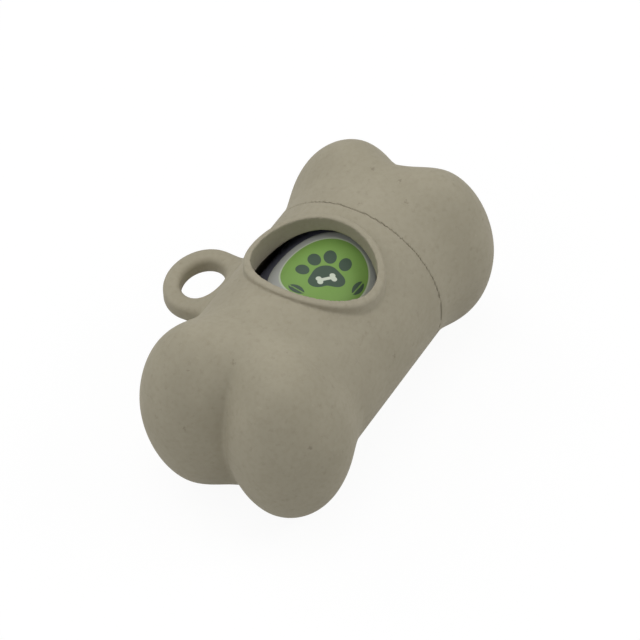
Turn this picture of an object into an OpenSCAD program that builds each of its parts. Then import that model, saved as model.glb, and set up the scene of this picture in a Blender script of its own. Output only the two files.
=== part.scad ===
// Bone-shaped dispenser for a roll of dog waste bags.
// A lobed body and a lobed cap close over a roll of bags, which are drawn out one by one
// through the oval window. A loop moulded on the side hangs it on a lead.
// The shells are worked out in a frame on the barrel's axis: X runs along the bone, with the
// joint between body and cap at x = 0 and the cap on the +X side, Y points to the hanging
// loop, and Z points up through the window.
// The part itself stands on z = 0, with its origin under the middle of its box.

/* [Barrel] */
// Outer radius of the barrel
barrel_r = 20; // [19:0.25:22]
// Wall of the barrel
wall = 2.65; // [2.4:0.05:3.2]
// Radius of the fillet at the closed ends of the cavity
cavity_fillet = 2; // [0.5:0.1:3]

/* [Body end] */
// Distance from the joint to the middle of the body's lobes
body_lobe_x = 44.5; // [40:0.25:50]
// Distance from the mid-plane to the middle of each lobe
body_lobe_y = 9.65; // [8.5:0.05:10.5]
// Half length of each lobe, along the bone
body_lobe_rx = 12.1; // [11:0.1:13]
// Half width of each lobe
body_lobe_ry = 12.95; // [12:0.05:14]
// Half height of each lobe
body_lobe_rz = 20.1; // [19:0.1:21]
// Exponent of each lobe's outline, where 2 is an ellipse
body_lobe_n = 1.9; // [1.7:0.05:2.4]
// Reach of the barrel's rounded end past the middle of the lobes, between them
body_end_over = 3.8; // [2:0.1:5]
// Radius of the edge round the barrel's end
body_end_r = 8.5; // [5:0.5:9]
// Thickness of the closed end, on the axis
body_end_wall = 5.7; // [5:0.1:9]

/* [Cap end] */
// Distance from the joint to the middle of the cap's lobes
cap_lobe_x = 15.55; // [14:0.05:19]
// Distance from the mid-plane to the middle of each lobe
cap_lobe_y = 9.55; // [8.5:0.05:10.5]
// Half length of each lobe, along the bone
cap_lobe_rx = 12.5; // [11.5:0.1:13.5]
// Half width of each lobe
cap_lobe_ry = 12.9; // [12:0.05:14]
// Half height of each lobe
cap_lobe_rz = 19.55; // [19:0.05:21]
// Exponent of each lobe's outline, where 2 is an ellipse
cap_lobe_n = 1.85; // [1.7:0.05:2.4]
// Reach of the barrel's rounded end past the middle of the lobes, between them
cap_end_over = 3.75; // [2:0.05:5]
// Radius of the edge round the barrel's end
cap_end_r = 7.5; // [5:0.5:8]
// Thickness of the closed end, on the axis
cap_end_wall = 5; // [4.5:0.1:8]

/* [Blends] */
// Width of the blend where two lobes meet
crease_blend = 0.6; // [0.3:0.1:2]
// Width of the blend where lobes meet the barrel
root_blend = 4.75; // [3:0.05:6]

/* [Push fit] */
// Length of the neck that enters the cap
neck_l = 7; // [5:0.5:9]
// Wall of the neck
neck_wall = 1.4; // [1.1:0.1:1.5]
// Radial clearance between the neck and the cap
neck_fit = 0.05; // [0.02:0.01:0.1]
// End gap between the neck and the bottom of its socket
neck_end_gap = 0.4; // [0.3:0.1:1]

/* [Window] */
// Distance from the joint to the middle of the window
window_x = 15.9; // [14.5:0.1:18]
// Length of the opening, along the bone
window_l = 21.6; // [18:0.2:23]
// Width of the opening
window_w = 26.2; // [22:0.2:27]
// Width of the lip round the opening
lip_w = 1.6; // [1:0.1:2]
// Height of the lip above the barrel, at the ends of the window
lip_h = 0.8; // [0.4:0.1:1.2]
// Radius of the lip's crest, which is flatter than the barrel
lip_crest_r = 29.4; // [24:0.2:32]

/* [Hanging loop] */
// Distance from the joint to the middle of the loop
loop_x = 15.9; // [14:0.1:18]
// Distance from the barrel's side to the middle of the loop's hole
loop_out = 6.7; // [6:0.1:8]
// Length of the loop, along the bone
loop_l = 18.8; // [17:0.2:21]
// Width of the loop, if it were a whole oval
loop_w = 15.6; // [14.6:0.2:17]
// Length of the loop's hole, along the bone
loop_hole_l = 11; // [8:0.2:12]
// Width of the loop's hole
loop_hole_w = 8.4; // [6:0.2:9]
// Thickness of the loop
loop_t = 4; // [3.4:0.1:5.6]
// Radius of the loop's edges
loop_edge_r = 1.2; // [0.6:0.1:1.5]
// Width of the blend at the loop's roots
loop_root = 6.8; // [4:0.2:7.4]

/* [Bag roll] */
// Difference between the cavity's radius and the full roll's
roll_play = 1.15; // [0.9:0.05:4]
// Gap between the roll's ends and the closed ends of the cavity
roll_end_gap = 0.95; // [0.5:0.05:2]
// Gap between the spinning roll and the cavity's floor
roll_gap = 0.3; // [0.2:0.1:0.6]
// Outer radius of the paper core
core_r = 6.5; // [5.5:0.1:7.5]
// Wall of the paper core
core_wall = 1; // [0.6:0.1:1.5]
// Slack between one bag's turns and the next
bag_slack = 0.03; // [0.02:0.01:0.06]

/* [Label] */
// Radius of the round label on the roll
label_r = 10.8; // [9:0.1:13]
// Thickness of the label
label_t = 0.12; // [0.08:0.01:0.3]
// Distance from the joint to the middle of the label
label_x = 14; // [13:0.1:18]
// Angle of the label's middle round the roll, from the top towards the hanging loop
label_turn = -1.5; // [-20:0.1:20]

/* [Hidden] */
$fn = 96;
eps = 0.01;
tiny = 0.000001;

// Faces of the computed shells
around = 64;
body_rows = 12;
body_fan_rows = 20;
cap_rows = 5;
cap_fan_rows = 19;
loop_steps = 64;
edge_steps = 3;
label_steps = 72;

// Rows of the barrel crowd towards the lobes by this power
row_crowding = 1.6;

// Search for the surface: nearest and farthest distance along a ray, and how often it is halved
ray_near = 4;
ray_far = 40;
halvings = 15;

// Search for the loop's outline: where it starts, its first step, and its last
march_from = 4;
march_step = 0.5;
march_end = 0.01;

// Places that are tried for the lowest point: how far back from the lobes, and how many across
low_back = 3;
low_across = 8;

bag_count = 15;

// The outer form of each end of the bone: middle of one lobe, its half sizes, its exponent,
// and the end and the edge of the barrel
BODY = [
    [body_lobe_x, body_lobe_y], [body_lobe_rx, body_lobe_ry, body_lobe_rz], body_lobe_n,
    body_lobe_x + body_end_over, body_end_r
];
CAP = [
    [cap_lobe_x, cap_lobe_y], [cap_lobe_rx, cap_lobe_ry, cap_lobe_rz], cap_lobe_n,
    cap_lobe_x + cap_end_over, cap_end_r
];

cavity_r = barrel_r - wall;
cavity_lo = body_end_wall - body_lobe_x - body_end_over;
cavity_hi = cap_lobe_x + cap_end_over - cap_end_wall;

neck_r = cavity_r + neck_wall;
socket_r = neck_r + neck_fit;
socket_l = neck_l + neck_end_gap;

loop_y = barrel_r + loop_out;

// Middle of the lip's crest, below the barrel's axis
lip_z = barrel_r + lip_h - lip_crest_r;

// The roll fills the cavity's length and lies near its floor
roll_r = cavity_r - roll_play;
roll_lo = cavity_lo + roll_end_gap;
roll_l = cavity_hi - cavity_lo - 2 * roll_end_gap;
label_in_r = roll_r + bag_slack;
roll_z = label_in_r + label_t + roll_gap - cavity_r;

// Reach of the whole part from the joint's middle, for the origin
far_y = max([for (form = [BODY, CAP]) reach(form, [form[0][0], 0, 0], [0, 1, 0])]);
low_z = max([
    for (form = [BODY, CAP]) for (back = [0:low_back]) for (j = [0:low_across])
        reach(form, [form[0][0] - back, form[0][1] * j / low_across, 0], [0, 0, 1])
]);
middle = [
    (cap_lobe_x + cap_lobe_rx - body_lobe_x - body_lobe_rx) / 2,
    (loop_y + loop_w / 2 - far_y) / 2,
    -low_z
];

// ---- the bone's outer form, as a field that is negative inside and zero on the surface ----

// Least of two fields, rounded over a width k where they meet
function blend(a, b, k) =
    let (h = min(max(0.5 + 0.5 * (b - a) / k, 0), 1))
    b * (1 - h) + a * h - k * h * (1 - h);

// Distance from a rounded lobe with half sizes r
function lobe(p, r, n) =
    let (
        q = [for (i = [0:2]) max(abs(p[i]) / r[i], tiny)],
        s = pow(pow(q[0], n) + pow(q[1], n) + pow(q[2], n), 1 / n),
        slope = norm([for (i = [0:2]) pow(q[i] / s, n - 1) / r[i]])
    )
    (s - 1) / slope;

// Distance from the barrel, which ends at x = l with a rounded edge
function barrel(p, l, edge) =
    let (
        a = norm([p[1], p[2]]) - barrel_r + edge,
        b = p[0] - l + edge
    )
    min(max(a, b), 0) + norm([max(a, 0), max(b, 0)]) - edge;

// One end of the bone, with its lobes towards +X
function bone_end(p, form) =
    let (
        c = form[0],
        one = lobe(p - [c[0], c[1], 0], form[1], form[2]),
        other = lobe(p - [c[0], -c[1], 0], form[1], form[2])
    )
    blend(barrel(p, form[3], form[4]), blend(one, other, crease_blend), root_blend);

// Distance from the point c to the surface in the direction d, by halving
function reach(form, c, d, lo = ray_near, hi = ray_far, n = halvings) =
    n == 0 ? (lo + hi) / 2 :
    let (mid = (lo + hi) / 2)
    bone_end(c + d * mid, form) < 0
        ? reach(form, c, d, mid, hi, n - 1)
        : reach(form, c, d, lo, mid, n - 1);

// Rays that cover one end: rings square to the axis, then a fan that closes over the end
function ring_ray(x, a) = [[x, 0, 0], [0, cos(a), sin(a)]];
function fan_ray(x, tip, a) = [[x, 0, 0], [sin(tip), cos(tip) * cos(a), cos(tip) * sin(a)]];
function end_rays(fan_x, rows, fan_rows) = [
    for (i = [0:rows - 1])
        let (x = fan_x * (1 - pow(1 - i / rows, row_crowding)))
        [for (j = [0:around - 1]) ring_ray(x, 360 * j / around)],
    for (i = [0:fan_rows - 1])
        [for (j = [0:around - 1]) fan_ray(fan_x, 90 * i / fan_rows, 360 * j / around)]
];

// Closed skin over rows of points, with one point at each end
module skin(rows, first, last) {
    n = len(rows[0]);
    m = len(rows);
    points = [first, for (row = rows) for (p = row) p, last];
    faces = [
        for (j = [0:n - 1]) [0, 1 + j, 1 + (j + 1) % n],
        for (i = [0:m - 2]) for (j = [0:n - 1])
            let (a = 1 + i * n + j, b = 1 + i * n + (j + 1) % n)
            each [[a, b + n, b], [a, a + n, b + n]],
        for (j = [0:n - 1])
            [1 + (m - 1) * n + (j + 1) % n, 1 + (m - 1) * n + j, m * n + 1]
    ];
    polyhedron(points, faces, convexity = 6);
}

// Solid outer form of one end, with its lobes towards +X and its flat face at x = 0
module bone_form(form, rows, fan_rows) {
    fan_x = form[0][0] - form[1][0] / 2;
    surface = [
        for (row = end_rays(fan_x, rows, fan_rows))
            [for (ray = row) ray[0] + ray[1] * reach(form, ray[0], ray[1])]
    ];
    tip = [fan_x + reach(form, [fan_x, 0, 0], [1, 0, 0]), 0, 0];
    skin(surface, [0, 0, 0], tip);
}

// ---- helpers ----

module along_x(x) {
    translate([x, 0, 0]) rotate([0, 90, 0]) children();
}

// Round cavity from the joint to its closed end at x = l, with a fillet at that end
module cavity(l) {
    f = cavity_fillet;
    outline = [
        [0, -eps], [cavity_r, -eps],
        for (a = [0:15:90]) [cavity_r - f + f * cos(a), l - f + f * sin(a)],
        [0, l]
    ];
    along_x(0) rotate_extrude() polygon(outline);
}

module tube(r, wall, l) {
    difference() {
        cylinder(r = r, h = l);
        translate([0, 0, -eps]) cylinder(r = r - wall, h = l + 2 * eps);
    }
}

module place() {
    translate(-middle) children();
}

// ---- body ----

// Upright oval prism over the window, grown by the width g
module window_prism(g, z0, z1) {
    translate([-window_x, 0, z0])
        scale([window_l / 2 + g, window_w / 2 + g, 1])
            cylinder(r = 1, h = z1 - z0);
}

// Lip round the window, under a crest that is flatter than the barrel
module window_lip() {
    intersection() {
        window_prism(lip_w, cavity_r / 2, lip_crest_r);
        translate([0, 0, lip_z])
            along_x(-window_x - window_l) cylinder(r = lip_crest_r, h = 2 * window_l);
    }
}

// Field of the loop's outline in plan: an oval that blends into the barrel's side
function loop_field(q) =
    let (
        rx = loop_l / 2,
        ry = loop_w / 2,
        oval = (norm([q[0] / rx, q[1] / ry]) - 1) * ry
    )
    blend(oval, q[1] + loop_out, loop_root);

// Reach of the outline along u: the first way out of the field, or the depth at which the
// roots end inside the barrel's wall
function loop_out_at(u, end, t = march_from, step = march_step) =
    t >= end ? end :
    loop_field(u * t) < 0 ? loop_out_at(u, end, t + step, step) :
    step < march_end ? t :
    loop_out_at(u, end, t - step, step / 2);
function loop_outline() = [
    for (i = [0:loop_steps - 1])
        let (
            a = 360 * i / loop_steps,
            u = [cos(a), sin(a)],
            deepest = loop_out + wall / 2,
            end = u[1] < -eps ? min(deepest / -u[1], loop_l) : loop_l
        )
        u * loop_out_at(u, end)
];
function loop_hole() = [
    for (i = [0:loop_steps - 1])
        let (a = 360 * i / loop_steps)
        [loop_hole_l / 2 * cos(a), loop_hole_w / 2 * sin(a)]
];

// Band with rounded edges between the hole and the outline
module hanging_loop() {
    inner = loop_hole();
    outer = loop_outline();
    e = loop_edge_r;
    h = loop_t / 2 - e;
    turn = [for (i = [0:edge_steps]) 90 * i / edge_steps];
    // Section from the hole over the top to the outside and back underneath, as [inset, z]
    up = [for (a = turn) [e * (1 - cos(a)), h + e * sin(a)]];
    n = loop_steps;
    section = [
        for (s = up) [0, s],
        for (i = [edge_steps:-1:0]) [1, up[i]],
        for (s = up) [1, [s[0], -s[1]]],
        for (i = [edge_steps:-1:0]) [0, [up[i][0], -up[i][1]]]
    ];
    m = len(section);
    points = [
        for (i = [0:n - 1]) for (s = section)
            let (
                a = inner[i],
                b = outer[i],
                u = (b - a) / norm(b - a),
                p = s[0] == 0 ? a + u * s[1][0] : b - u * s[1][0]
            )
            [p[0], p[1], s[1][1]]
    ];
    faces = [
        for (i = [0:n - 1]) for (k = [0:m - 1])
            let (
                a = i * m + k,
                b = i * m + (k + 1) % m,
                c = ((i + 1) % n) * m + (k + 1) % m,
                d = ((i + 1) % n) * m + k
            )
            each [[a, c, b], [a, d, c]]
    ];
    translate([-loop_x, loop_y, 0]) polyhedron(points, faces, convexity = 6);
}

module body_shell() {
    color([0.61, 0.58, 0.5]) place() difference() {
        union() {
            mirror([1, 0, 0]) bone_form(BODY, body_rows, body_fan_rows);
            along_x(-neck_l) cylinder(r = neck_r, h = 2 * neck_l);
            window_lip();
            hanging_loop();
        }
        mirror([1, 0, 0]) cavity(-cavity_lo);
        along_x(0) cylinder(r = cavity_r, h = neck_l + eps);
        window_prism(0, 0, barrel_r + lip_crest_r);
    }
}

// ---- cap ----

module cap_shell() {
    color([0.6, 0.57, 0.49]) place() difference() {
        bone_form(CAP, cap_rows, cap_fan_rows);
        along_x(-eps) cylinder(r = socket_r, h = socket_l + eps);
        cavity(cavity_hi);
    }
}

// ---- bag roll ----

module on_roll() {
    place() translate([roll_lo, 0, roll_z]) rotate([0, 90, 0]) children();
}

module roll_core() {
    color([0.62, 0.5, 0.36]) on_roll() tube(core_r, core_wall, roll_l);
}

// Radius out to which n bags fill the roll, counted from the core: each has the same film
function wound_r(n) =
    sqrt(core_r * core_r + (roll_r * roll_r - core_r * core_r) * n / bag_count);

// One bag's turns, counted from the outside: the first is the next to be drawn out
module bag(n) {
    outer = wound_r(bag_count - n + 1) - (n == 1 ? 0 : bag_slack / 2);
    inner = wound_r(bag_count - n) + bag_slack / 2;
    color([0.15, 0.15, 0.19]) on_roll() tube(outer, outer - inner, roll_l);
}

// Round label, bent over the roll
module roll_label() {
    disc = [
        for (i = [0:label_steps - 1])
            let (a = 360 * i / label_steps)
            [label_r * cos(a), roll_r * sin(label_r * sin(a) / roll_r * 180 / PI)]
    ];
    color([0.44, 0.58, 0.28]) place() translate([0, 0, roll_z]) rotate([-label_turn, 0, 0])
        intersection() {
            along_x(-label_x - 2 * label_r) tube(label_in_r + label_t, label_t, 4 * label_r);
            translate([-label_x, 0, 0]) linear_extrude(2 * roll_r) polygon(disc);
        }
}

body_shell();
cap_shell();
roll_core();
roll_label();
bag(1);  // bag_01
bag(2);  // bag_02
bag(3);  // bag_03
bag(4);  // bag_04
bag(5);  // bag_05
bag(6);  // bag_06
bag(7);  // bag_07
bag(8);  // bag_08
bag(9);  // bag_09
bag(10);  // bag_10
bag(11);  // bag_11
bag(12);  // bag_12
bag(13);  // bag_13
bag(14);  // bag_14
bag(15);  // bag_15
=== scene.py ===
"""Dresses the frame of a bone-shaped dispenser for rolled waste bags.

Lengths of the object are in millimetres until a mesh is made, and lengths of the stage in metres.
The shells are worked out in a frame on the barrel's axis, as in the part: x = 0 at the joint
between body and cap, +Y towards the hanging loop, +Z up.
"""

import math
from itertools import product

import bpy
import numpy as np
from mathutils import Matrix, Vector


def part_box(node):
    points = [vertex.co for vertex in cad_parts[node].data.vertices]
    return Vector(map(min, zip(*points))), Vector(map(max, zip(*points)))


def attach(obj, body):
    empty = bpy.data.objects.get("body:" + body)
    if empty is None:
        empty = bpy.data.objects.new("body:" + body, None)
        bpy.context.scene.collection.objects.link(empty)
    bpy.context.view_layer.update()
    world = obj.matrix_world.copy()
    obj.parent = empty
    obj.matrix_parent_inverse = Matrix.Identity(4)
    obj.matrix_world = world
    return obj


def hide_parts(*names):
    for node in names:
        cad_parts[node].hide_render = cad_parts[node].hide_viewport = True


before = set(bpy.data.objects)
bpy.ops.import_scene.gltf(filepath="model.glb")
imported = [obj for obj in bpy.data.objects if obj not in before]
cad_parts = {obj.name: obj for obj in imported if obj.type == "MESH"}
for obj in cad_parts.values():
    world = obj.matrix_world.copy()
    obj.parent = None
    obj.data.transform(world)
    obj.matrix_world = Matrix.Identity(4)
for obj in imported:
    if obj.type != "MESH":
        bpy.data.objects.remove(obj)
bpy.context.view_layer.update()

MM = 0.001
TINY = 1e-6

# ---- places that the frame gives ----

cap_low, cap_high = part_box("cap_shell")
core_low, core_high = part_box("roll_core")
roll_low, roll_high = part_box("bag_01")

AXIS_Y = (core_low.y + core_high.y) / 2
AXIS_Z = (cap_low.z + cap_high.z) / 2
SHELL_ORIGIN = np.array([cap_low.x, AXIS_Y, AXIS_Z])

ROLL_LO = (roll_low.x - cap_low.x) / MM
ROLL_HI = (roll_high.x - cap_low.x) / MM
ROLL_R = (roll_high.z - roll_low.z) / 2 / MM
ROLL_Z = ((roll_low.z + roll_high.z) / 2 - AXIS_Z) / MM
CORE_R = (core_high.z - core_low.z) / 2 / MM

# ---- sizes of the shells ----

BARREL_R = 20.0
CAVITY_R = 17.35
CAVITY_LO = -42.6
CAVITY_HI = 14.3
CAVITY_FILLET = 2.0

# Each end of the bone: the middle of one lobe, its half sizes and its exponent, the barrel's end and
# the radius of its edge, and the width of the blend between the two lobes
BODY_END = {
    "middle": (44.5, 9.65),
    "half": (12.1, 12.95, 20.1),
    "power": 1.9,
    "end": 48.3,
    "edge": 8.5,
    "crease": 1.0,
}
CAP_END = {
    "middle": (15.55, 9.55),
    "half": (12.5, 12.9, 19.55),
    "power": 1.85,
    "end": 19.3,
    "edge": 7.5,
    "crease": 0.35,
}
ROOT_BLEND = 4.75

NECK_R = 18.75
NECK_L = 7.0
SOCKET_R = 18.8
SOCKET_L = 7.4
NECK_START = -5.0
JOINT_GAP = 0.025
JOINT_EDGE_R = 0.12
INNER_EDGE_R = 0.25

WINDOW_X = -15.9
WINDOW_HALF = (10.8, 13.1)
WINDOW_EDGE_R = 0.3
WINDOW_FLOOR = 8.0
LIP_W = 1.6
LIP_Z = -8.6
LIP_CREST_R = 29.4
LIP_EDGE_R = 0.45
LIP_ROOT = 0.3

LOOP_X = -15.9
LOOP_Y = 26.7
LOOP_HALF = (9.4, 7.8)
LOOP_HOLE_HALF = (5.5, 4.2)
LOOP_T = 4.0
LOOP_EDGE_R = 1.2
LOOP_ROOT = 6.8

GRID_STEP = 0.46
GRID_MARGIN = 1.1
SLOPE_STEP = 0.02
LEAST_SLOPE_SQUARED = 0.05
SETTLE_ROUNDS = 5

# ---- roll and label ----

BAG_COUNT = 15
BAG_SLACK = 0.03
ROLL_SEGMENTS = 240
ROLL_SEED = 7
OUTER_BAG_LENGTHS = 90
INNER_BAG_LENGTHS = 2
# Waves round the roll: how many, how deep, and where each starts
ROLL_WAVES = ((2, 0.045, 0.6), (3, 0.03, 2.1), (7, 0.012, 4.0))
CREASE_DEPTH = 0.07
CREASE_SHARE = 0.65
RIPPLE_SHARE = 0.35
FREE_END_STEP = 0.1
FREE_END_ANGLE = math.radians(205)
END_RELIEF = 0.16
END_STEPS = 4

LABEL_X = -14.35
LABEL_TURN = math.radians(-3.1)
LABEL_R = 11.35
GREEN_R = 9.0
GREEN_MIDDLE = (0.4, -0.39)
LABEL_T = 0.12
LABEL_LIFT = 0.03
LABEL_RINGS = 46
LABEL_SEGMENTS = 224
MOTIF_TURN = math.radians(-52)
MOTIF_SCALE = 1.4
MOTIF_DROP = 0.35
PALE_RIM_W = 0.35
PRINT_EDGE = 0.05

# Print of the label, each as the middle and half sizes of an oval, before it is scaled
PAD_TOP = ((0, -0.5), (1.9, 1.7))
PAD_SIDE = ((1.35, -1.65), (1.35, 1.2))
PAD_BLEND = 1.0
INNER_TOE = ((1.15, 2.75), (0.95, 1.35), 8)
OUTER_TOE = ((3.1, 1.15), (0.9, 1.25), 28)
BONE_BAR_HALF = (1.0, 0.26)
BONE_KNOB_AT = (1.05, 0.33)
BONE_KNOB_R = 0.42
BONE_DROP = 1.35
BONE_TURN = math.radians(12)
LEAF_ARC_R = 2.2
LEAF_ARC_OFF = 1.5
LEAF_VEIN_HALF = 0.1
LEAF_AT = (4.5, 2.7)
LEAF_TURN = math.radians(40)

# ---- camera, as fitted to the photograph ----

PHOTO_SIZE = 640
SENSOR = 36.0
VIEW_AZIMUTH = math.radians(-58.193)
VIEW_ELEVATION = math.radians(45.682)
VIEW_ROLL = math.radians(-2.842)
VIEW_TARGET = (-17.5, 0.0, 0.0)
VIEW_DISTANCE = 732.36
VIEW_FOCAL_PX = 3636.93
VIEW_CENTRE_PX = (312.951, 333.463)
CLIP_START = 0.05

# ---- stage and light, in metres ----

FLOOR_HALF = 3.0
FLOOR_GREY = 0.69
FLOOR_GLOW = 1.06
FLOOR_GLOW_SHARE = 0.88
SKY_STRENGTH = 0.3
LAMP_TARGET = (0, 0, 0.02)
LAMP_SIZE = 0.7

# ---- colours, in sRGB from 0 to 255 ----

STRAW_DEEP = (166, 159, 139)
STRAW_LIGHT = (171, 164, 144)
STRAW_GRAIN = (154, 146, 124)
PALE_FIBRE = (188, 181, 158)
DARK_FIBRE = (122, 112, 90)
SOFT_FLECK = (126, 118, 98)
DARK_FLECK = (104, 96, 80)
FILM_DEEP = (79, 80, 95)
FILM_LIGHT = (90, 91, 107)
BOARD_DEEP = (158, 130, 96)
BOARD_LIGHT = (178, 150, 114)
BOARD_SEAM = (110, 86, 60)
PAPER_DEEP = (162, 164, 160)
PAPER_LIGHT = (170, 172, 166)
GREEN_DEEP = (111, 149, 66)
GREEN_LIGHT = (123, 159, 78)
INK_DEEP = (46, 66, 52)
INK_LIGHT = (56, 76, 58)
PALE_RIM = (188, 196, 174)
PALE_BONE = (206, 214, 196)


# ---- fields: negative inside a form, zero on its surface, in millimetres ----


def soft_min(a, b, width):
    """Least of two fields, rounded over a width where they meet."""
    h = np.clip(0.5 + 0.5 * (b - a) / width, 0, 1)
    return b * (1 - h) + a * h - width * h * (1 - h)


def both(a, b, radius):
    """What is inside a and b, with a rounded edge where their surfaces meet."""
    a, b = a + radius, b + radius
    outside = np.hypot(np.maximum(a, 0), np.maximum(b, 0))
    return np.minimum(np.maximum(a, b), 0) + outside - radius


def oval(across, along, half):
    """Distance from an upright oval prism."""
    q = np.stack((across / half[0], along / half[1]), -1)
    s = np.maximum(np.linalg.norm(q, axis=-1), TINY)
    slope = np.linalg.norm(q / s[..., None] / np.array(half), axis=-1)
    return (s - 1) / np.maximum(slope, TINY)


def lobe(p, middle, half, power):
    """Distance from a rounded lobe, near its surface: an ellipsoid with an exponent other than 2."""
    q = np.maximum(np.abs(p - middle) / half, TINY)
    s = (q**power).sum(-1) ** (1 / power)
    slope = np.linalg.norm((q / s[..., None]) ** (power - 1) / half, axis=-1)
    return (s - 1) / slope


def bone_end(p, end):
    """One end of the bone, with its lobes towards +X."""
    half = np.array(end["half"])
    x, y = end["middle"]
    lobes = soft_min(
        lobe(p, np.array([x, y, 0]), half, end["power"]),
        lobe(p, np.array([x, -y, 0]), half, end["power"]),
        end["crease"],
    )
    radial = np.hypot(p[..., 1], p[..., 2]) - BARREL_R
    return soft_min(both(radial, p[..., 0] - end["end"], end["edge"]), lobes, ROOT_BLEND)


def body_field(p):
    """The body: skin with its lip and loop, window, neck and cavity."""
    x, y, z = p[..., 0], p[..., 1], p[..., 2]
    radial = np.hypot(y, z)
    skin = both(bone_end(p * (-1, 1, 1), BODY_END), x + JOINT_GAP / 2, JOINT_EDGE_R)

    window = oval(x - WINDOW_X, y, WINDOW_HALF)
    crest = np.hypot(y, z - LIP_Z) - LIP_CREST_R
    lip = np.maximum(both(window - LIP_W, crest, LIP_EDGE_R), WINDOW_FLOOR - z)
    skin = soft_min(skin, lip, LIP_ROOT)

    loop = both(oval(x - LOOP_X, y - LOOP_Y, LOOP_HALF), np.abs(z) - LOOP_T / 2, LOOP_EDGE_R)
    skin = soft_min(skin, loop, LOOP_ROOT)
    skin = both(skin, -oval(x - LOOP_X, y - LOOP_Y, LOOP_HOLE_HALF), LOOP_EDGE_R)

    skin = both(skin, -np.maximum(window, -z), WINDOW_EDGE_R)
    neck = np.maximum(both(radial - NECK_R, x - NECK_L, INNER_EDGE_R), NECK_START - x)
    cavity = both(radial - CAVITY_R, CAVITY_LO - x, CAVITY_FILLET)
    return both(np.minimum(skin, neck), -cavity, INNER_EDGE_R)


def cap_field(p):
    """The cap: skin, socket for the neck, and cavity."""
    x = p[..., 0]
    radial = np.hypot(p[..., 1], p[..., 2])
    skin = both(bone_end(p, CAP_END), JOINT_GAP / 2 - x, JOINT_EDGE_R)
    socket = both(radial - SOCKET_R, x - SOCKET_L, INNER_EDGE_R)
    cavity = both(radial - CAVITY_R, x - CAVITY_HI, CAVITY_FILLET)
    return both(skin, -np.minimum(socket, cavity), INNER_EDGE_R)


# ---- meshes ----


def make_piece(name, points, faces, material, body, replaced, normals=None):
    """Makes a smooth mesh piece from points in millimetres in the shell frame."""
    mesh = bpy.data.meshes.new(name)
    mesh.from_pydata((np.asarray(points) * MM + SHELL_ORIGIN).tolist(), [], faces)
    mesh.polygons.foreach_set("use_smooth", [True] * len(mesh.polygons))
    if normals is not None:
        mesh.normals_split_custom_set_from_vertices(normals.tolist())
    mesh.materials.append(material)
    piece = bpy.data.objects.new(name, mesh)
    bpy.context.scene.collection.objects.link(piece)
    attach(piece, body)
    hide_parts(*replaced)
    return piece


def slope_of(field, p):
    """Slope of a field at points, from small steps to either side."""
    steps = SLOPE_STEP * np.eye(3)
    return np.stack([field(p + s) - field(p - s) for s in steps], -1) / (2 * SLOPE_STEP)


def polygonise(field, low, high):
    """Points, faces and normals of a field's surface: one point in each grid cell that the surface
    crosses, settled onto it, and one face for each grid edge that it crosses."""
    low = np.array(low) - GRID_MARGIN
    axes = [np.arange(a, b + GRID_MARGIN + GRID_STEP, GRID_STEP) for a, b in zip(low, high)]
    value = field(np.stack(np.meshgrid(*axes, indexing="ij"), -1))
    cells = tuple(n - 1 for n in value.shape)
    total = np.zeros(cells + (3,))
    count = np.zeros(cells)
    for axis in range(3):
        first, second = (np.moveaxis(value, axis, 0)[s] for s in (slice(-1), slice(1, None)))
        crossed = (first < 0) != (second < 0)
        share = np.where(crossed, first / np.where(crossed, first - second, 1), 0)
        others = [n for n in range(3) if n != axis]
        rows, columns = (cells[n] for n in others)
        total_view, count_view = np.moveaxis(total, axis, 0), np.moveaxis(count, axis, 0)
        for j, k in product((0, 1), repeat=2):
            part = (slice(None), slice(j, j + rows), slice(k, k + columns))
            total_view[..., axis] += share[part]
            total_view[..., others[0]] += j * crossed[part]
            total_view[..., others[1]] += k * crossed[part]
            count_view += crossed[part]

    active = count > 0
    number = np.full(cells, -1)
    number[active] = np.arange(active.sum())
    points = low + GRID_STEP * (np.argwhere(active) + total[active] / count[active][:, None])

    faces = []
    for axis in range(3):
        inside = np.moveaxis(value, axis, 0) < 0
        of_cell = np.moveaxis(number, axis, 0)
        crossed = inside[:-1] != inside[1:]
        i, j, k = np.nonzero(crossed[:, 1:-1, 1:-1])
        corners = [of_cell[i, j + b, k + c] for b, c in ((0, 0), (1, 0), (1, 1), (0, 1))]
        quad = np.stack(corners, -1)
        outwards = inside[i, j + 1, k + 1] != (axis == 1)
        faces.append(np.where(outwards[:, None], quad, quad[:, ::-1]))

    for _ in range(SETTLE_ROUNDS):
        slope = slope_of(field, points)
        move = field(points) / np.maximum((slope**2).sum(-1), LEAST_SLOPE_SQUARED)
        points -= np.clip(move[:, None] * slope, -GRID_STEP / 2, GRID_STEP / 2)
    normals = slope_of(field, points)
    normals /= np.maximum(np.linalg.norm(normals, axis=-1, keepdims=True), TINY)
    return points, np.concatenate(faces).tolist(), normals


def to_shell(corner):
    """A point of the frame, in metres, as millimetres in the shell frame."""
    return (np.array(corner) - SHELL_ORIGIN) / MM


def make_shell(name, field, node, body, material):
    """Makes the body or the cap from its field, in the room of its CAD node."""
    low, high = (to_shell(c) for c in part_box(node))
    points, faces, normals = polygonise(field, low, high)
    make_piece(name, points, faces, material, body, [node], normals)


def roll_wave(angle):
    """How far the wound roll stands out of round, never outwards."""
    parts = [size * (np.cos(turns * angle + phase) - 1) for turns, size, phase in ROLL_WAVES]
    return sum(parts)


def film_creases(x, angle):
    """Depth of the soft creases in the outermost film, from 0 to 1."""
    slant = angle * 6 + 1.3 * np.sin(x * 0.11 + 1.0)
    long_crease = np.clip(np.sin(slant) ** 8, 0, 1) * (0.5 + 0.5 * np.sin(x * 0.23 + angle * 2))
    ripple = 0.5 + 0.5 * np.sin(x * 0.9 + 2.2 * np.sin(angle * 3))
    return CREASE_SHARE * long_crease + RIPPLE_SHARE * ripple


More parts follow.
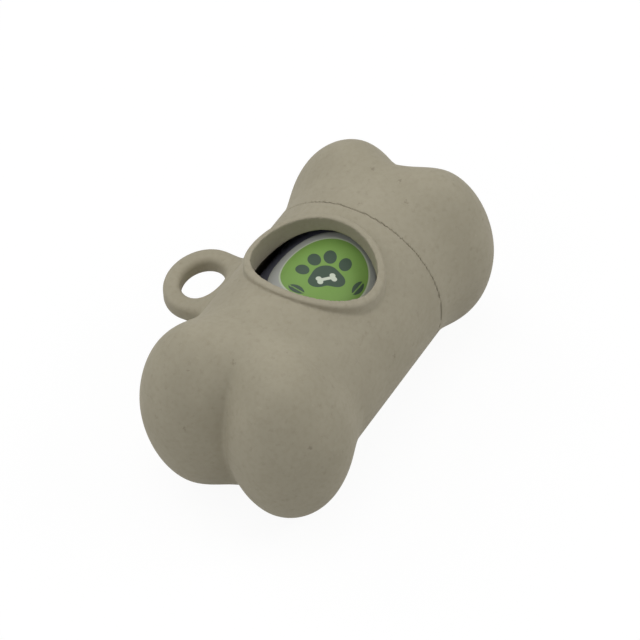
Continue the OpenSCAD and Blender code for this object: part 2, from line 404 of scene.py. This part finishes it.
def wound_radius(bags):
    """Radius out to which so many bags fill the roll, counted from the core."""
    return math.sqrt(CORE_R**2 + (ROLL_R**2 - CORE_R**2) * bags / BAG_COUNT)


def make_bag(number, material, random):
    """One bag's turns of film, as a sleeve with layered ends."""
    outer = wound_radius(BAG_COUNT - number + 1) - (0 if number == 1 else BAG_SLACK / 2)
    inner = wound_radius(BAG_COUNT - number) + BAG_SLACK / 2
    outermost = number == 1
    lengths = OUTER_BAG_LENGTHS if outermost else INNER_BAG_LENGTHS
    radii = np.linspace(inner, outer, END_STEPS + 1)
    relief = random.uniform(0, END_RELIEF, (2, END_STEPS))
    low_end = [(ROLL_LO + relief[0][i], r) for i in range(END_STEPS) for r in radii[i : i + 2]]
    high_end = [(ROLL_HI - relief[1][i], r) for i in range(END_STEPS) for r in radii[i : i + 2]]
    along = [(x, outer) for x in np.linspace(low_end[-1][0], high_end[-1][0], lengths)[1:-1]]
    section = np.array(low_end + along + high_end[::-1])

    angle = np.linspace(0, 2 * math.pi, ROLL_SEGMENTS, endpoint=False)[:, None]
    x = np.broadcast_to(section[:, 0], (ROLL_SEGMENTS, len(section)))
    radius = section[:, 1] + roll_wave(angle)
    if outermost:
        turn = np.mod(angle - FREE_END_ANGLE, 2 * math.pi) / (2 * math.pi)
        depth = CREASE_DEPTH * film_creases(x, angle) + FREE_END_STEP * turn
        radius = radius - depth * (section[:, 1] - inner) / (outer - inner)
    points = np.stack((x, radius * np.sin(angle), ROLL_Z + radius * np.cos(angle)), -1)
    m = len(section)
    faces = []
    for i, k in product(range(ROLL_SEGMENTS), range(m)):
        here, after = i * m, (i + 1) % ROLL_SEGMENTS * m
        beside = (k + 1) % m
        faces.append((here + k, here + beside, after + beside, after + k))
    points = points.reshape(-1, 3)
    name = f"bag_{number:02d}"
    make_piece(name + "_film", points, faces, material, "roll", [name])


# ---- label print, as distances in millimetres on the flat label ----


def turned(u, v, angle):
    """A place on the label, as seen from axes turned by an angle."""
    return u * math.cos(angle) + v * math.sin(angle), -u * math.sin(angle) + v * math.cos(angle)


def spot(u, v, middle, half, angle=0.0):
    """Distance from an oval anywhere on the label."""
    return oval(*turned(u - middle[0], v - middle[1], angle), half)


def paw(u, v):
    """A paw print: one pad of three rounds, and four toes."""
    (side_x, side_y), side_half = PAD_SIDE
    pad = spot(u, v, *PAD_TOP)
    for side in (-1, 1):
        pad = soft_min(pad, spot(u, v, (side * side_x, side_y), side_half), PAD_BLEND)
    toes = [
        spot(u, v, (side * x, y), half, -side * math.radians(lean))
        for side in (-1, 1)
        for (x, y), half, lean in (INNER_TOE, OUTER_TOE)
    ]
    return np.minimum.reduce([pad, *toes])


def small_bone(u, v):
    """A bone: a bar with two rounds at each end."""
    bar = np.maximum(np.abs(u) - BONE_BAR_HALF[0], np.abs(v) - BONE_BAR_HALF[1])
    knobs = [
        np.hypot(u - side * BONE_KNOB_AT[0], v - lift * BONE_KNOB_AT[1]) - BONE_KNOB_R
        for side, lift in product((-1, 1), repeat=2)
    ]
    return np.minimum.reduce([bar, *knobs])


def leaf(u, v):
    """A leaf between two arcs, with a gap along its middle vein."""
    right_arc = np.hypot(u - LEAF_ARC_OFF, v) - LEAF_ARC_R
    left_arc = np.hypot(u + LEAF_ARC_OFF, v) - LEAF_ARC_R
    return np.maximum(np.maximum(right_arc, left_arc), LEAF_VEIN_HALF - np.abs(u))


def disc_faces(rings, segments):
    """Faces of a disc seen from above: a fan about point 0, then rings of points outwards."""
    faces = [(0, 1 + j, 1 + (j + 1) % segments) for j in range(segments)]
    for i, j in product(range(rings - 1), range(segments)):
        a, b = 1 + i * segments + j, 1 + i * segments + (j + 1) % segments
        faces.append((a, a + segments, b + segments, b))
    return faces


def make_label(material):
    """Round label bent over the roll, with its print kept as distances on its points."""
    ring = np.linspace(0, 1, LABEL_RINGS + 1)[1:]
    angle = np.linspace(0, 2 * math.pi, LABEL_SEGMENTS, endpoint=False)
    radius, angle = (a.ravel() for a in np.meshgrid(ring * LABEL_R, angle, indexing="ij"))
    sheet = len(radius) + 1
    u = np.tile(np.concatenate(([0], radius * np.cos(angle))), 2)
    v = np.tile(np.concatenate(([0], radius * np.sin(angle))), 2)
    turn = LABEL_TURN + v / ROLL_R
    height = ROLL_R + LABEL_LIFT + roll_wave(turn) + np.where(np.arange(len(u)) < sheet, LABEL_T, 0)
    points = np.stack((LABEL_X + u, height * np.sin(turn), ROLL_Z + height * np.cos(turn)), -1)

    top = disc_faces(LABEL_RINGS, LABEL_SEGMENTS)
    under = [tuple(sheet + k for k in reversed(face)) for face in top]
    rim = [sheet - LABEL_SEGMENTS + j for j in range(LABEL_SEGMENTS)]
    edge = [(a, a + sheet, b + sheet, b) for a, b in zip(rim, rim[1:] + rim[:1])]
    faces = top + under + edge
    piece = make_piece("label_disc", points, faces, material, "roll", ["roll_label"])

    off_u, off_v = u - GREEN_MIDDLE[0], v - GREEN_MIDDLE[1]
    right, up = turned(off_u / MOTIF_SCALE, off_v / MOTIF_SCALE, MOTIF_TURN)
    up = up + MOTIF_DROP
    bone_place = turned(right, up + BONE_DROP, BONE_TURN)
    leaves = [
        leaf(*turned(right - side * LEAF_AT[0], up + LEAF_AT[1], -side * LEAF_TURN))
        for side in (-1, 1)
    ]
    prints = {
        "rim_distance": np.hypot(off_u, off_v) - GREEN_R,
        "motif_distance": np.minimum.reduce([paw(right, up), *leaves]) * MOTIF_SCALE,
        "bone_distance": small_bone(*bone_place) * MOTIF_SCALE,
    }
    for key, value in prints.items():
        attribute = piece.data.attributes.new(key, "FLOAT", "POINT")
        attribute.data.foreach_set("value", value.astype(np.float32))


# ---- materials ----


def add_node(tree, kind, inputs=None, **settings):
    """Adds a shader node. An input is given by name or number, as a value or as a socket."""
    made = tree.nodes.new("ShaderNode" + kind)
    for key, value in settings.items():
        setattr(made, key, value)
    for key, value in (inputs or {}).items():
        if isinstance(value, bpy.types.NodeSocket):
            tree.links.new(value, made.inputs[key])
        else:
            made.inputs[key].default_value = value
    return made


def new_material(name):
    """A material with its node tree and its main shader."""
    material = bpy.data.materials.new(name)
    material.use_nodes = True
    tree = material.node_tree
    return material, tree, tree.nodes["Principled BSDF"]


def linear(colour):
    """A colour written in sRGB, none of it near black, as the linear value that a shader takes."""
    return (*(((c / 255 + 0.055) / 1.055) ** 2.4 for c in colour), 1.0)


def object_place(tree, stretch=(1, 1, 1), turn=(0, 0, 0)):
    """A point's place on its piece, turned by degrees and stretched where the scale is under 1."""
    place = add_node(tree, "TexCoord").outputs["Object"]
    rotation = tuple(math.radians(a) for a in turn)
    mapping = add_node(tree, "Mapping", {"Vector": place, "Rotation": rotation, "Scale": stretch})
    return mapping.outputs["Vector"]


def noise(tree, place, size, detail=2.0, roughness=0.5):
    """Cloudy noise from 0 to 1, with features of about a size in millimetres."""
    inputs = {"Vector": place, "Scale": 1 / (size * MM), "Detail": detail, "Roughness": roughness}
    return add_node(tree, "TexNoise", inputs).outputs["Fac"]


def ramp(tree, value, low, high):
    """0 below low, 1 above high, and smooth between."""
    inputs = {"Value": value, "From Min": low, "From Max": high}
    return add_node(tree, "MapRange", inputs, interpolation_type="SMOOTHSTEP").outputs["Result"]


def mix_colours(tree, share, a, b):
    """From a at a share of 0 to b at 1. Each is a socket or a colour in sRGB."""
    a, b = (linear(c) if isinstance(c, tuple) else c for c in (a, b))
    mixer = add_node(tree, "Mix", {0: share, 6: a, 7: b}, data_type="RGBA")
    return mixer.outputs[2]


def times(tree, a, b):
    return add_node(tree, "Math", {0: a, 1: b}, operation="MULTIPLY").outputs[0]


def flecks(tree, place, spacing, size, chance):
    """Scattered flecks: 1 inside, 0 outside. A share of the cells, by chance, holds one."""
    wobble = add_node(tree, "TexNoise", {"Vector": place, "Scale": 2.5 / (size * MM), "Detail": 1.0})
    most = (size * MM * 1.3,) * 3
    shift = add_node(tree, "VectorMath", {0: wobble.outputs["Color"], 1: most}, operation="MULTIPLY")
    moving = {0: place, 1: shift.outputs[0]}
    moved = add_node(tree, "VectorMath", moving, operation="ADD").outputs[0]
    cells = add_node(tree, "TexVoronoi", {"Vector": moved, "Scale": 1 / (spacing * MM)})
    pick = add_node(tree, "SeparateColor", {0: cells.outputs["Color"]}).outputs[0]
    chosen = add_node(tree, "Math", {0: pick, 1: chance}, operation="LESS_THAN").outputs[0]
    reach = size / spacing / 2
    return times(tree, ramp(tree, cells.outputs["Distance"], reach * 1.3, reach * 0.4), chosen)


def set_roughness(tree, shader, value, low, high):
    """Roughness from low to high as a value goes from 0 to 1."""
    spread = add_node(tree, "MapRange", {"Value": value, "To Min": low, "To Max": high})
    tree.links.new(spread.outputs["Result"], shader.inputs["Roughness"])


def set_bump(tree, shader, height, distance):
    """Fine relief, as deep as a distance in millimetres."""
    made = add_node(tree, "Bump", {"Height": height, "Distance": distance * MM, "Strength": 1.0})
    tree.links.new(made.outputs["Normal"], shader.inputs["Normal"])


def straw_plastic():
    """Matt moulded plastic filled with plant fibre: warm grey with cloudy tone and fine flecks."""
    material, tree, shader = new_material("straw_plastic")
    place = object_place(tree)
    tone = noise(tree, place, 9, 3.0, 0.55)
    fine = noise(tree, place, 1.1, 2.0, 0.6)
    base = mix_colours(tree, ramp(tree, tone, 0.3, 0.7), STRAW_DEEP, STRAW_LIGHT)
    base = mix_colours(tree, times(tree, ramp(tree, fine, 0.35, 0.8), 0.32), base, STRAW_GRAIN)

    along = object_place(tree, (0.4, 1, 1), (0, 15, 25))
    across = object_place(tree, (1, 0.35, 1), (20, 0, -35))
    soft = flecks(tree, object_place(tree), 2.1, 0.95, 0.7)
    dark = flecks(tree, object_place(tree, turn=(40, 0, 0)), 5.2, 1.0, 0.45)
    dark_fibre = flecks(tree, along, 2.6, 0.6, 0.5)
    pale_fibre = flecks(tree, across, 2.4, 0.5, 0.4)
    base = mix_colours(tree, times(tree, pale_fibre, 0.25), base, PALE_FIBRE)
    base = mix_colours(tree, times(tree, dark_fibre, 0.15), base, DARK_FIBRE)
    base = mix_colours(tree, times(tree, soft, 0.16), base, SOFT_FLECK)
    base = mix_colours(tree, times(tree, dark, 0.4), base, DARK_FLECK)
    tree.links.new(base, shader.inputs["Base Color"])

    set_roughness(tree, shader, fine, 0.66, 0.8)
    set_bump(tree, shader, noise(tree, place, 0.4, 2.0, 0.6), 0.01)
    shader.inputs["Specular IOR Level"].default_value = 0.3
    return material


def bag_film():
    """Thin dark film in tight turns, with a soft sheen."""
    material, tree, shader = new_material("bag_film")
    place = object_place(tree, (0.25, 1, 1))
    cloud = noise(tree, place, 3.0, 3.0, 0.6)
    base = mix_colours(tree, cloud, FILM_DEEP, FILM_LIGHT)
    tree.links.new(base, shader.inputs["Base Color"])
    set_roughness(tree, shader, cloud, 0.32, 0.5)
    set_bump(tree, shader, noise(tree, place, 0.9, 2.0, 0.5), 0.03)
    return material


def core_paper():
    """Wound paper tube: brown board with a spiral seam and short fibres."""
    material, tree, shader = new_material("core_paper")
    place = object_place(tree)
    fibre = noise(tree, object_place(tree, (0.3, 1, 1), (0, 0, 30)), 0.5, 3.0, 0.7)
    base = mix_colours(tree, fibre, BOARD_DEEP, BOARD_LIGHT)
    bands = {"Vector": place, "Scale": 60.0, "Distortion": 0.0}
    wave = add_node(tree, "TexWave", bands, bands_direction="DIAGONAL")
    seam = ramp(tree, wave.outputs["Fac"], 0.06, 0.0)
    base = mix_colours(tree, times(tree, seam, 0.5), base, BOARD_SEAM)
    tree.links.new(base, shader.inputs["Base Color"])
    shader.inputs["Roughness"].default_value = 0.9
    set_bump(tree, shader, fibre, 0.03)
    return material


def label_film():
    """Printed film: green with a darker print, inside a pale border."""
    material, tree, shader = new_material("label_film")
    place = object_place(tree)

    def inked(key, reach=0.0):
        distance = add_node(tree, "Attribute", attribute_name=key).outputs["Fac"]
        return ramp(tree, distance, reach + PRINT_EDGE, reach - PRINT_EDGE)

    cloud = noise(tree, place, 5.0, 2.0, 0.5)
    grain = noise(tree, place, 0.3, 2.0, 0.6)
    paper = mix_colours(tree, grain, PAPER_DEEP, PAPER_LIGHT)
    green = mix_colours(tree, cloud, GREEN_DEEP, GREEN_LIGHT)
    ink = mix_colours(tree, grain, INK_DEEP, INK_LIGHT)
    base = mix_colours(tree, inked("rim_distance", PALE_RIM_W), paper, PALE_RIM)
    base = mix_colours(tree, inked("rim_distance"), base, green)
    base = mix_colours(tree, inked("motif_distance"), base, ink)
    base = mix_colours(tree, inked("bone_distance"), base, PALE_BONE)
    tree.links.new(base, shader.inputs["Base Color"])
    set_roughness(tree, shader, grain, 0.5, 0.6)
    set_bump(tree, shader, noise(tree, place, 2.5, 2.0, 0.5), 0.04)
    return material


# ---- pieces ----

straw = straw_plastic()
film = bag_film()

make_shell("body_form", body_field, "body_shell", "body", straw)
make_shell("cap_form", cap_field, "cap_shell", "cap", straw)

random = np.random.default_rng(ROLL_SEED)
for number in range(1, BAG_COUNT + 1):
    make_bag(number, film, random)
make_label(label_film())

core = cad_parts["roll_core"]
core.data.materials.clear()
core.data.materials.append(core_paper())


# ---- stage, light and camera ----


def seen_plainly(tree):
    """1 for what the camera sees, directly or in a reflection, and 0 for what only lights others."""
    path = add_node(tree, "LightPath").outputs
    kinds = [path[f"Is {kind} Ray"] for kind in ("Camera", "Glossy", "Transmission")]
    direct = add_node(tree, "Math", {0: kinds[0], 1: kinds[1]}, operation="MAXIMUM").outputs[0]
    return add_node(tree, "Math", {0: direct, 1: kinds[2]}, operation="MAXIMUM").outputs[0]


def make_floor():
    """A white floor that shows the shadow softly."""
    sides = ((-1, -1), (1, -1), (1, 1), (-1, 1))
    corners = [(x * FLOOR_HALF, y * FLOOR_HALF, 0) for x, y in sides]
    mesh = bpy.data.meshes.new("floor")
    mesh.from_pydata(corners, [], [(0, 1, 2, 3)])
    floor = bpy.data.objects.new("floor", mesh)
    bpy.context.scene.collection.objects.link(floor)
    material, tree, shader = new_material("floor")
    shader.inputs["Base Color"].default_value = (FLOOR_GREY, FLOOR_GREY, FLOOR_GREY, 1)
    shader.inputs["Roughness"].default_value = 1.0
    glow = add_node(tree, "Emission", {"Color": (1, 1, 1, 1), "Strength": FLOOR_GLOW}).outputs[0]
    share = times(tree, seen_plainly(tree), FLOOR_GLOW_SHARE)
    mixed = add_node(tree, "MixShader", {0: share, 1: shader.outputs[0], 2: glow}).outputs[0]
    tree.links.new(mixed, tree.nodes["Material Output"].inputs["Surface"])
    mesh.materials.append(material)


def make_world():
    """A white world that the camera sees plainly, and that lights the object softly."""
    world = bpy.data.worlds.new("studio")
    bpy.context.scene.world = world
    world.use_nodes = True
    tree = world.node_tree
    sky = tree.nodes["Background"]
    sky.inputs["Color"].default_value = (1, 1, 1, 1)
    sky.inputs["Strength"].default_value = SKY_STRENGTH
    plain = add_node(tree, "Background", {"Color": (1, 1, 1, 1), "Strength": 1.0}).outputs[0]
    seen = seen_plainly(tree)
    mixed = add_node(tree, "MixShader", {0: seen, 1: sky.outputs[0], 2: plain}).outputs[0]
    tree.links.new(mixed, tree.nodes["World Output"].inputs["Surface"])


def make_lamp(name, place, power):
    """A square lamp that faces the object."""
    data = bpy.data.lights.new(name, "AREA")
    data.size = LAMP_SIZE
    data.energy = power
    lamp = bpy.data.objects.new(name, data)
    bpy.context.scene.collection.objects.link(lamp)
    lamp.location = place
    lamp.rotation_mode = "QUATERNION"
    lamp.rotation_quaternion = (Vector(LAMP_TARGET) - Vector(place)).to_track_quat("-Z", "Y")


def make_camera():
    """The camera at the photograph's place, angle and framing."""
    a, e = VIEW_AZIMUTH, VIEW_ELEVATION
    back = Vector((math.sin(a) * math.cos(e), -math.cos(a) * math.cos(e), math.sin(e)))
    level = Vector((0, 0, 1)).cross(back).normalized()
    above = back.cross(level)
    right = level * math.cos(VIEW_ROLL) + above * math.sin(VIEW_ROLL)
    up = above * math.cos(VIEW_ROLL) - level * math.sin(VIEW_ROLL)
    target = Vector(SHELL_ORIGIN) + Vector(VIEW_TARGET) * MM
    data = bpy.data.cameras.new("photo_view")
    data.sensor_width = SENSOR
    data.lens = VIEW_FOCAL_PX * SENSOR / PHOTO_SIZE
    data.shift_x = 0.5 - VIEW_CENTRE_PX[0] / PHOTO_SIZE
    data.shift_y = VIEW_CENTRE_PX[1] / PHOTO_SIZE - 0.5
    data.clip_start = CLIP_START
    camera = bpy.data.objects.new("photo_view", data)
    bpy.context.scene.collection.objects.link(camera)
    turn = Matrix((right, up, back)).transposed()
    camera.matrix_world = Matrix.Translation(target + back * VIEW_DISTANCE * MM) @ turn.to_4x4()
    bpy.context.scene.camera = camera


make_floor()
make_world()
make_lamp("top", (0, 0, 1.3), 3.1)
make_lamp("far_left", (0.21, 0.895, 0.92), 2.9)
make_lamp("left", (-0.525, 0.846, 0.836), 1.2)
make_lamp("near_left", (-0.968, 0.227, 0.836), 2.0)
make_lamp("right", (0.525, -0.846, 0.836), 4.2)
make_camera()
bpy.context.scene.view_settings.view_transform = "Standard"
